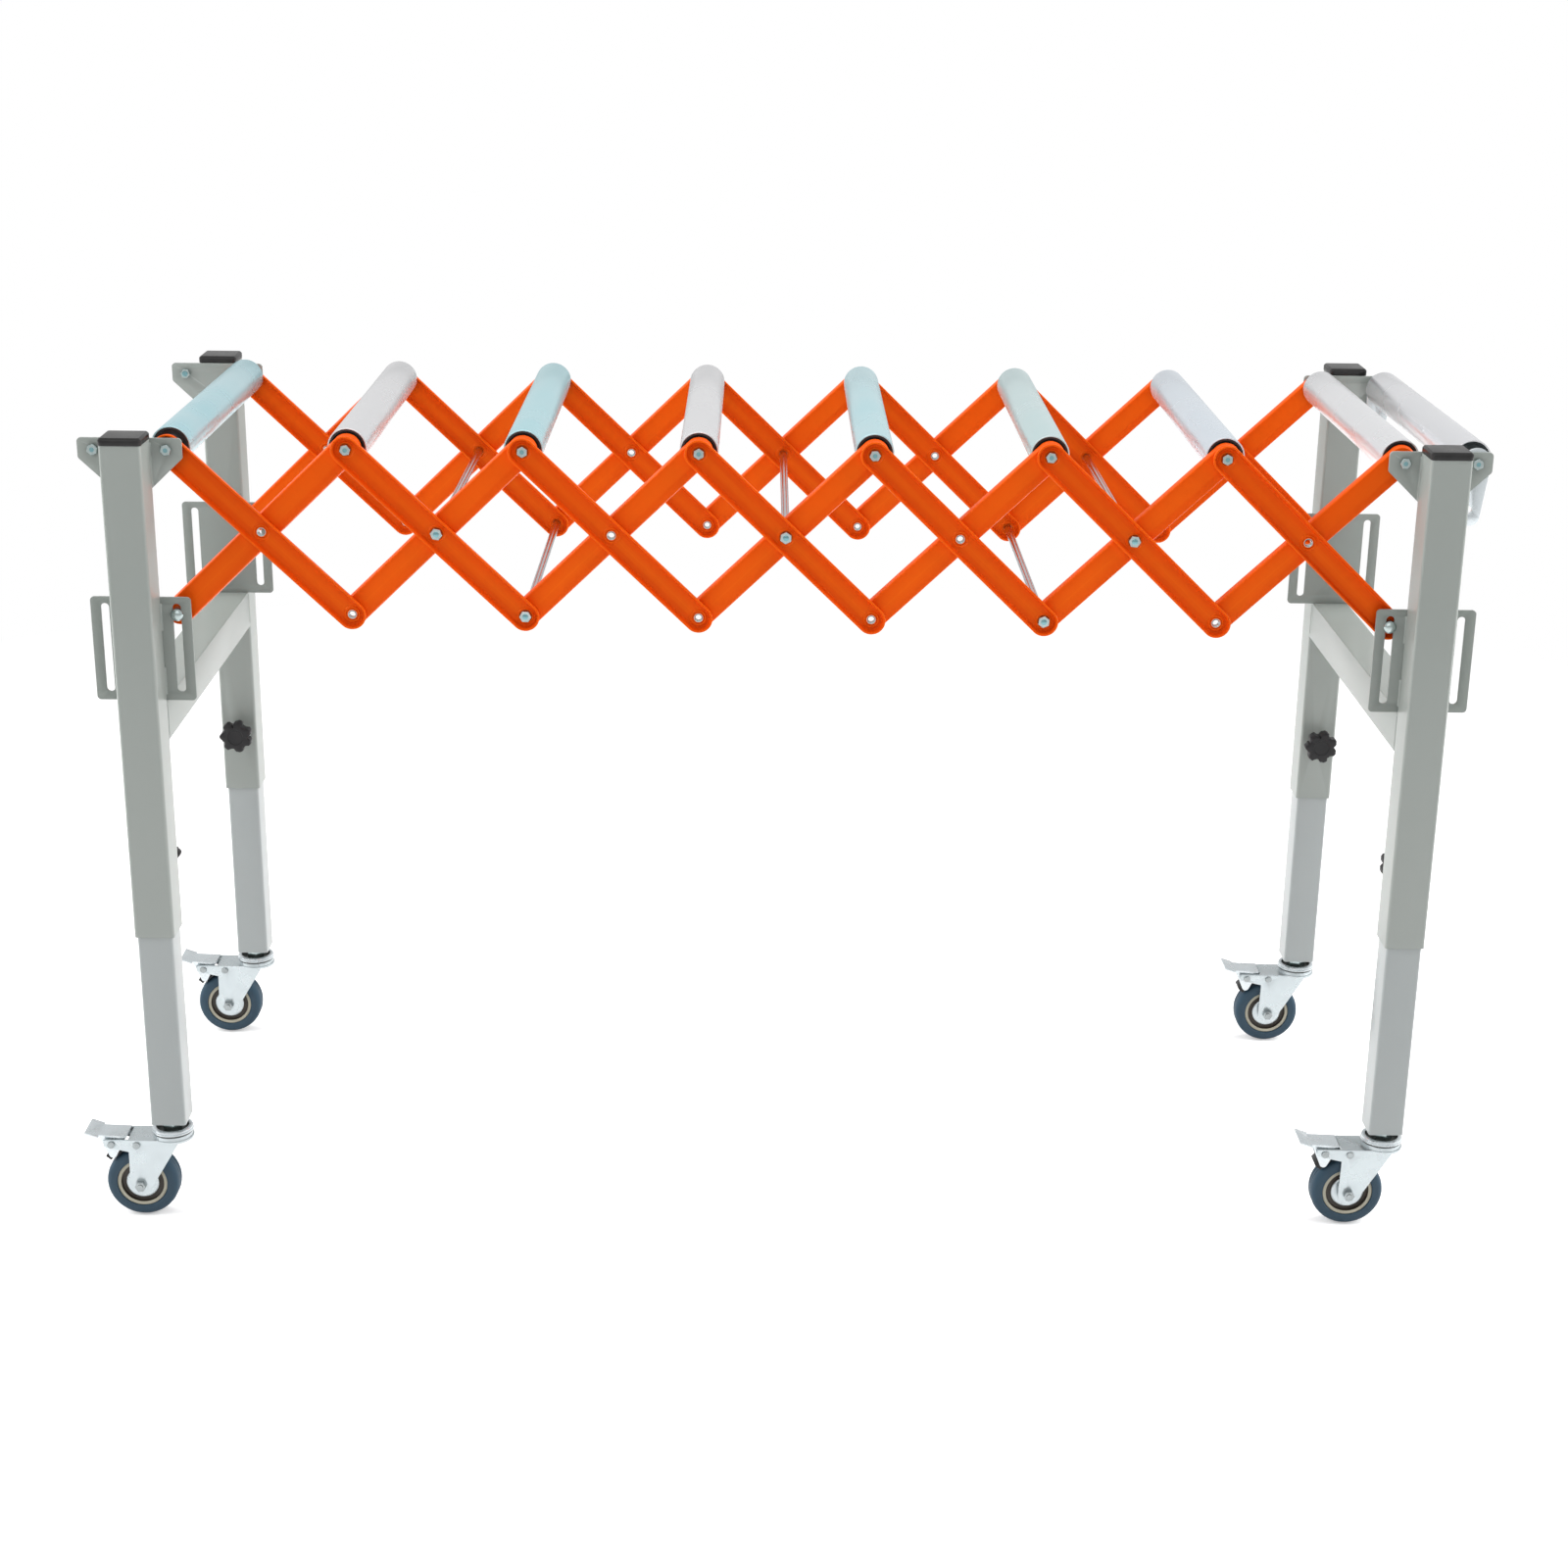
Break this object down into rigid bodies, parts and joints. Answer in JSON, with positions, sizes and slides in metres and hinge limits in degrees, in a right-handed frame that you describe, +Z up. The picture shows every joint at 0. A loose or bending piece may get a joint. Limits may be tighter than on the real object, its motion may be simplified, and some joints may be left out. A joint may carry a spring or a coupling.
{
  "type": "expandable roller conveyor",
  "caption": "Expandable roller conveyor: a scissor lattice carries idle rollers between two height-adjustable end frames on swivelling, braked casters.",
  "frame": {"origin": "on the floor, below the middle of the outer box", "axes": "+X along the bed towards the end with two rollers, +Y across the bed to the far side, +Z up"},
  "size_m": [1.402, 0.5062, 0.825],
  "materials": {
    "frame_paint": "satin grey powder coat",
    "lattice_paint": "glossy orange powder coat",
    "zinc": "bright zinc plate",
    "roller_steel": "polished chrome tube",
    "black_plastic": "moulded black plastic",
    "tyre": "blue-grey rubber"
  },
  "bodies": {
    "left_frame": {"left_frame": "frame_paint", "left_slot_plates": "frame_paint", "left_caps": "black_plastic", "left_axle_set": "zinc"},
    "right_frame": {"right_frame": "frame_paint", "right_slot_plates": "frame_paint", "right_caps": "black_plastic", "right_axle_set": "zinc"},
    "falling_1": {"falling_bars_1": "lattice_paint", "pivot_set_1": "zinc"},
    "rising_1": {"rising_bars_1": "lattice_paint"},
    "falling_2": {"falling_bars_2": "lattice_paint", "pivot_set_2": "zinc"},
    "rising_2": {"rising_bars_2": "lattice_paint"},
    "falling_3": {"falling_bars_3": "lattice_paint", "pivot_set_3": "zinc"},
    "rising_3": {"rising_bars_3": "lattice_paint"},
    "falling_4": {"falling_bars_4": "lattice_paint", "pivot_set_4": "zinc"},
    "rising_4": {"rising_bars_4": "lattice_paint"},
    "falling_5": {"falling_bars_5": "lattice_paint", "pivot_set_5": "zinc"},
    "rising_5": {"rising_bars_5": "lattice_paint"},
    "falling_6": {"falling_bars_6": "lattice_paint", "pivot_set_6": "zinc"},
    "rising_6": {"rising_bars_6": "lattice_paint"},
    "falling_7": {"falling_bars_7": "lattice_paint", "pivot_set_7": "zinc"},
    "rising_7": {"rising_bars_7": "lattice_paint"},
    "roller_1": {"roller_1": "roller_steel"},
    "roller_2": {"roller_2": "roller_steel"},
    "roller_3": {"roller_3": "roller_steel"},
    "roller_4": {"roller_4": "roller_steel"},
    "roller_5": {"roller_5": "roller_steel"},
    "roller_6": {"roller_6": "roller_steel"},
    "roller_7": {"roller_7": "roller_steel"},
    "roller_8": {"roller_8": "roller_steel"},
    "roller_9": {"roller_9": "roller_steel"},
    "near_left_leg": {"near_left_leg": "frame_paint"},
    "near_left_knob": {"near_left_knob": "black_plastic"},
    "near_left_fork": {"near_left_fork": "zinc"},
    "near_left_wheel": {"near_left_wheel": "tyre"},
    "near_left_pedal": {"near_left_pedal": "zinc"},
    "far_left_leg": {"far_left_leg": "frame_paint"},
    "far_left_knob": {"far_left_knob": "black_plastic"},
    "far_left_fork": {"far_left_fork": "zinc"},
    "far_left_wheel": {"far_left_wheel": "tyre"},
    "far_left_pedal": {"far_left_pedal": "zinc"},
    "near_right_leg": {"near_right_leg": "frame_paint"},
    "near_right_knob": {"near_right_knob": "black_plastic"},
    "near_right_fork": {"near_right_fork": "zinc"},
    "near_right_wheel": {"near_right_wheel": "tyre"},
    "near_right_pedal": {"near_right_pedal": "zinc"},
    "far_right_leg": {"far_right_leg": "frame_paint"},
    "far_right_knob": {"far_right_knob": "black_plastic"},
    "far_right_fork": {"far_right_fork": "zinc"},
    "far_right_wheel": {"far_right_wheel": "tyre"},
    "far_right_pedal": {"far_right_pedal": "zinc"},
    "near_coupling_hook": {"near_coupling_hook": "zinc"},
    "far_coupling_hook": {"far_coupling_hook": "zinc"}
  },
  "joints": [
    {"name": "lattice_fold", "type": "hinge", "parent": "left_frame", "child": "falling_1", "pos_m": [-0.578, 0, 0.806], "axis": [0, 1, 0], "range_deg": [-2.37, 32.85]},
    {"name": "middle_pivot_1", "type": "hinge", "parent": "falling_1", "child": "rising_1", "pos_m": [-0.493, 0, 0.72415], "axis": [0, 1, 0], "range_deg": [-65.8, 4.84]},
    {"name": "top_pivot_2", "type": "hinge", "parent": "rising_1", "child": "falling_2", "pos_m": [-0.408, 0, 0.806], "axis": [0, 1, 0], "range_deg": [-4.84, 65.8]},
    {"name": "middle_pivot_2", "type": "hinge", "parent": "falling_2", "child": "rising_2", "pos_m": [-0.323, 0, 0.72415], "axis": [0, 1, 0], "range_deg": [-65.8, 4.84]},
    {"name": "low_pivot_3", "type": "hinge", "parent": "falling_2", "child": "rising_3", "pos_m": [-0.238, 0, 0.64231], "axis": [0, 1, 0], "range_deg": [-65.8, 4.84]},
    {"name": "middle_pivot_3", "type": "hinge", "parent": "rising_3", "child": "falling_3", "pos_m": [-0.153, 0, 0.72415], "axis": [0, 1, 0], "range_deg": [-4.84, 65.8]},
    {"name": "top_pivot_4", "type": "hinge", "parent": "rising_3", "child": "falling_4", "pos_m": [-0.068, 0, 0.806], "axis": [0, 1, 0], "range_deg": [-4.84, 65.8]},
    {"name": "middle_pivot_4", "type": "hinge", "parent": "falling_4", "child": "rising_4", "pos_m": [0.017, 0, 0.72415], "axis": [0, 1, 0], "range_deg": [-65.8, 4.84]},
    {"name": "low_pivot_5", "type": "hinge", "parent": "falling_4", "child": "rising_5", "pos_m": [0.102, 0, 0.64231], "axis": [0, 1, 0], "range_deg": [-65.8, 4.84]},
    {"name": "middle_pivot_5", "type": "hinge", "parent": "rising_5", "child": "falling_5", "pos_m": [0.187, 0, 0.72415], "axis": [0, 1, 0], "range_deg": [-4.84, 65.8]},
    {"name": "top_pivot_6", "type": "hinge", "parent": "rising_5", "child": "falling_6", "pos_m": [0.272, 0, 0.806], "axis": [0, 1, 0], "range_deg": [-4.84, 65.8]},
    {"name": "middle_pivot_6", "type": "hinge", "parent": "falling_6", "child": "rising_6", "pos_m": [0.357, 0, 0.72415], "axis": [0, 1, 0], "range_deg": [-65.8, 4.84]},
    {"name": "low_pivot_7", "type": "hinge", "parent": "falling_6", "child": "rising_7", "pos_m": [0.442, 0, 0.64231], "axis": [0, 1, 0], "range_deg": [-65.8, 4.84]},
    {"name": "middle_pivot_7", "type": "hinge", "parent": "rising_7", "child": "falling_7", "pos_m": [0.527, 0, 0.72415], "axis": [0, 1, 0], "range_deg": [-4.84, 65.8]},
    {"name": "top_pivot_8", "type": "hinge", "parent": "rising_7", "child": "right_frame", "pos_m": [0.612, 0, 0.806], "axis": [0, 1, 0], "range_deg": [-2.47, 32.95]},
    {"name": "roller_1_spin", "type": "hinge", "parent": "left_frame", "child": "roller_1", "pos_m": [-0.578, 0, 0.806], "axis": [0, 1, 0], "continuous": true},
    {"name": "roller_2_spin", "type": "hinge", "parent": "falling_2", "child": "roller_2", "pos_m": [-0.408, 0, 0.806], "axis": [0, 1, 0], "continuous": true},
    {"name": "roller_3_spin", "type": "hinge", "parent": "falling_3", "child": "roller_3", "pos_m": [-0.238, 0, 0.806], "axis": [0, 1, 0], "continuous": true},
    {"name": "roller_4_spin", "type": "hinge", "parent": "falling_4", "child": "roller_4", "pos_m": [-0.068, 0, 0.806], "axis": [0, 1, 0], "continuous": true},
    {"name": "roller_5_spin", "type": "hinge", "parent": "falling_5", "child": "roller_5", "pos_m": [0.102, 0, 0.806], "axis": [0, 1, 0], "continuous": true},
    {"name": "roller_6_spin", "type": "hinge", "parent": "falling_6", "child": "roller_6", "pos_m": [0.272, 0, 0.806], "axis": [0, 1, 0], "continuous": true},
    {"name": "roller_7_spin", "type": "hinge", "parent": "falling_7", "child": "roller_7", "pos_m": [0.442, 0, 0.806], "axis": [0, 1, 0], "continuous": true},
    {"name": "roller_8_spin", "type": "hinge", "parent": "right_frame", "child": "roller_8", "pos_m": [0.612, 0, 0.806], "axis": [0, 1, 0], "continuous": true},
    {"name": "roller_9_spin", "type": "hinge", "parent": "right_frame", "child": "roller_9", "pos_m": [0.682, 0, 0.806], "axis": [0, 1, 0], "continuous": true},
    {"name": "near_left_leg_slide", "type": "slide", "parent": "left_frame", "child": "near_left_leg", "axis": [0, 0, 1], "range_m": [-0.215, 0.17]},
    {"name": "near_left_knob_turn", "type": "hinge", "parent": "left_frame", "child": "near_left_knob", "pos_m": [-0.613, -0.23, 0.387], "axis": [0, 1, 0], "range_deg": [-360, 0]},
    {"name": "near_left_swivel", "type": "hinge", "parent": "near_left_leg", "child": "near_left_fork", "pos_m": [-0.613, -0.23, 0.091], "axis": [0, 0, 1], "continuous": true},
    {"name": "near_left_wheel_spin", "type": "hinge", "parent": "near_left_fork", "child": "near_left_wheel", "pos_m": [-0.646, -0.23, 0.0375], "axis": [0, 1, 0], "continuous": true},
    {"name": "near_left_pedal_hinge", "type": "hinge", "parent": "near_left_fork", "child": "near_left_pedal", "pos_m": [-0.674, -0.23, 0.084], "axis": [0, 1, 0], "range_deg": [-8, 0]},
    {"name": "far_left_leg_slide", "type": "slide", "parent": "left_frame", "child": "far_left_leg", "axis": [0, 0, 1], "range_m": [-0.215, 0.17]},
    {"name": "far_left_knob_turn", "type": "hinge", "parent": "left_frame", "child": "far_left_knob", "pos_m": [-0.613, 0.23, 0.387], "axis": [0, 1, 0], "range_deg": [0, 360]},
    {"name": "far_left_swivel", "type": "hinge", "parent": "far_left_leg", "child": "far_left_fork", "pos_m": [-0.613, 0.23, 0.091], "axis": [0, 0, 1], "continuous": true},
    {"name": "far_left_wheel_spin", "type": "hinge", "parent": "far_left_fork", "child": "far_left_wheel", "pos_m": [-0.646, 0.23, 0.0375], "axis": [0, 1, 0], "continuous": true},
    {"name": "far_left_pedal_hinge", "type": "hinge", "parent": "far_left_fork", "child": "far_left_pedal", "pos_m": [-0.674, 0.23, 0.084], "axis": [0, 1, 0], "range_deg": [-8, 0]},
    {"name": "near_right_leg_slide", "type": "slide", "parent": "right_frame", "child": "near_right_leg", "axis": [0, 0, 1], "range_m": [-0.215, 0.17]},
    {"name": "near_right_knob_turn", "type": "hinge", "parent": "right_frame", "child": "near_right_knob", "pos_m": [0.647, -0.23, 0.387], "axis": [0, 1, 0], "range_deg": [-360, 0]},
    {"name": "near_right_swivel", "type": "hinge", "parent": "near_right_leg", "child": "near_right_fork", "pos_m": [0.647, -0.23, 0.091], "axis": [0, 0, 1], "continuous": true},
    {"name": "near_right_wheel_spin", "type": "hinge", "parent": "near_right_fork", "child": "near_right_wheel", "pos_m": [0.614, -0.23, 0.0375], "axis": [0, 1, 0], "continuous": true},
    {"name": "near_right_pedal_hinge", "type": "hinge", "parent": "near_right_fork", "child": "near_right_pedal", "pos_m": [0.586, -0.23, 0.084], "axis": [0, 1, 0], "range_deg": [-8, 0]},
    {"name": "far_right_leg_slide", "type": "slide", "parent": "right_frame", "child": "far_right_leg", "axis": [0, 0, 1], "range_m": [-0.215, 0.17]},
    {"name": "far_right_knob_turn", "type": "hinge", "parent": "right_frame", "child": "far_right_knob", "pos_m": [0.647, 0.23, 0.387], "axis": [0, 1, 0], "range_deg": [0, 360]},
    {"name": "far_right_swivel", "type": "hinge", "parent": "far_right_leg", "child": "far_right_fork", "pos_m": [0.647, 0.23, 0.091], "axis": [0, 0, 1], "continuous": true},
    {"name": "far_right_wheel_spin", "type": "hinge", "parent": "far_right_fork", "child": "far_right_wheel", "pos_m": [0.614, 0.23, 0.0375], "axis": [0, 1, 0], "continuous": true},
    {"name": "far_right_pedal_hinge", "type": "hinge", "parent": "far_right_fork", "child": "far_right_pedal", "pos_m": [0.586, 0.23, 0.084], "axis": [0, 1, 0], "range_deg": [-8, 0]},
    {"name": "near_hook_swing", "type": "hinge", "parent": "right_frame", "child": "near_coupling_hook", "pos_m": [0.682, -0.2051, 0.806], "axis": [0, 1, 0], "range_deg": [-130, 20]},
    {"name": "far_hook_swing", "type": "hinge", "parent": "right_frame", "child": "far_coupling_hook", "pos_m": [0.682, 0.2051, 0.806], "axis": [0, 1, 0], "range_deg": [-130, 20]}
  ],
  "couplings": [
    {"joint": "middle_pivot_1", "follows": "lattice_fold", "ratio": -2},
    {"joint": "top_pivot_2", "follows": "lattice_fold", "ratio": 2},
    {"joint": "middle_pivot_2", "follows": "lattice_fold", "ratio": -2},
    {"joint": "low_pivot_3", "follows": "lattice_fold", "ratio": -2},
    {"joint": "middle_pivot_3", "follows": "lattice_fold", "ratio": 2},
    {"joint": "top_pivot_4", "follows": "lattice_fold", "ratio": 2},
    {"joint": "middle_pivot_4", "follows": "lattice_fold", "ratio": -2},
    {"joint": "low_pivot_5", "follows": "lattice_fold", "ratio": -2},
    {"joint": "middle_pivot_5", "follows": "lattice_fold", "ratio": 2},
    {"joint": "top_pivot_6", "follows": "lattice_fold", "ratio": 2},
    {"joint": "middle_pivot_6", "follows": "lattice_fold", "ratio": -2},
    {"joint": "low_pivot_7", "follows": "lattice_fold", "ratio": -2},
    {"joint": "middle_pivot_7", "follows": "lattice_fold", "ratio": 2},
    {"joint": "top_pivot_8", "follows": "lattice_fold", "ratio": 1}
  ]
}
